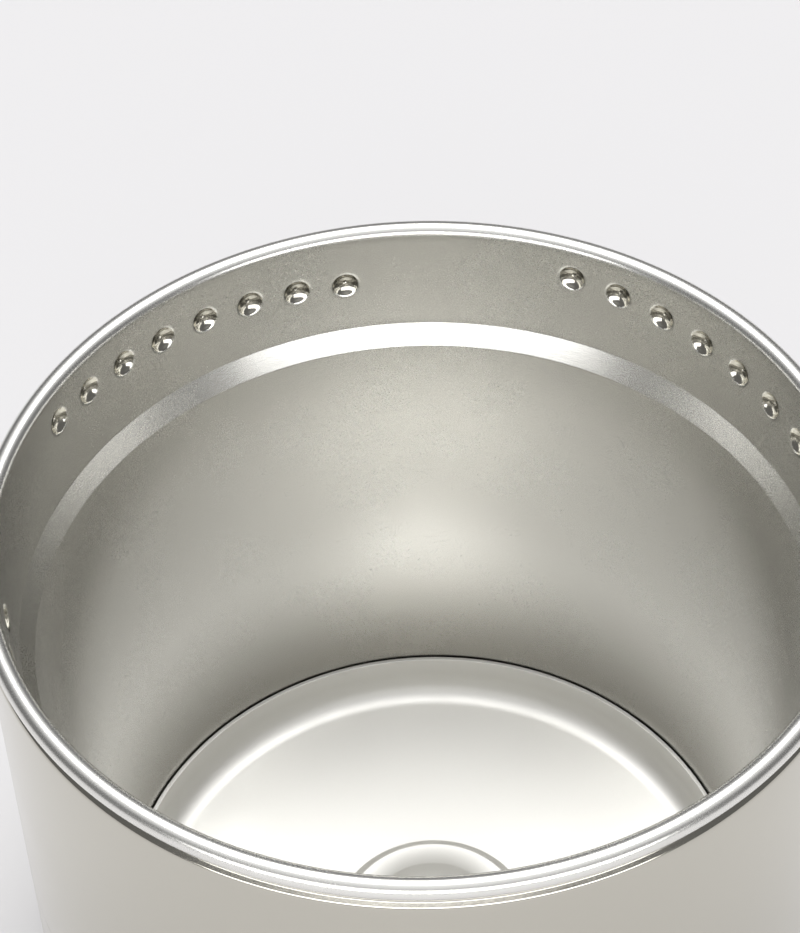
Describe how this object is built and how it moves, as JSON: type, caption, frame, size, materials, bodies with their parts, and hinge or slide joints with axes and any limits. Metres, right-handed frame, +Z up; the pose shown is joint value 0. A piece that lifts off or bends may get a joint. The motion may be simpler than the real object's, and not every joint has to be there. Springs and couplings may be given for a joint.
{
  "type": "alcohol spirit stove",
  "caption": "Double-walled steel alcohol stove: open tapered bowl with jets in slanted rows below a curled rim, and a lift-off burner head on a base cup.",
  "frame": {"origin": "centre of the foot, on the surface that the stove stands on", "axes": "+Z up along the stove's axis; +X points 14.5 degrees clockwise of the lowest jet of the first row, seen from above"},
  "size_m": [0.082, 0.082, 0.0675],
  "materials": {
    "satin_steel": "satin",
    "polished_steel": "polished",
    "plain_steel": "mill",
    "spring_wire": "drawn",
    "carbon_felt": "matte",
    "silicone": "matte"
  },
  "bodies": {
    "base": {"base_cup": "polished_steel", "neck_ring": "plain_steel", "priming_pan": "satin_steel", "ring_wick": "carbon_felt"},
    "seal": {"neck_seal": "silicone"},
    "head": {"burner_liner": "satin_steel", "outer_jacket": "polished_steel", "spacer_ring": "plain_steel", "wick_sleeve": "carbon_felt", "upper_wick_hoop": "spring_wire", "lower_wick_hoop": "spring_wire"}
  },
  "joints": [
    {"name": "head_turn", "type": "hinge", "parent": "base", "child": "seal", "pos_m": [0, 0, 0.0326], "axis": [0, 0, 1], "continuous": true},
    {"name": "head_lift", "type": "slide", "parent": "seal", "child": "head", "axis": [0, 0, 1], "range_m": [0, 0.045]}
  ]
}
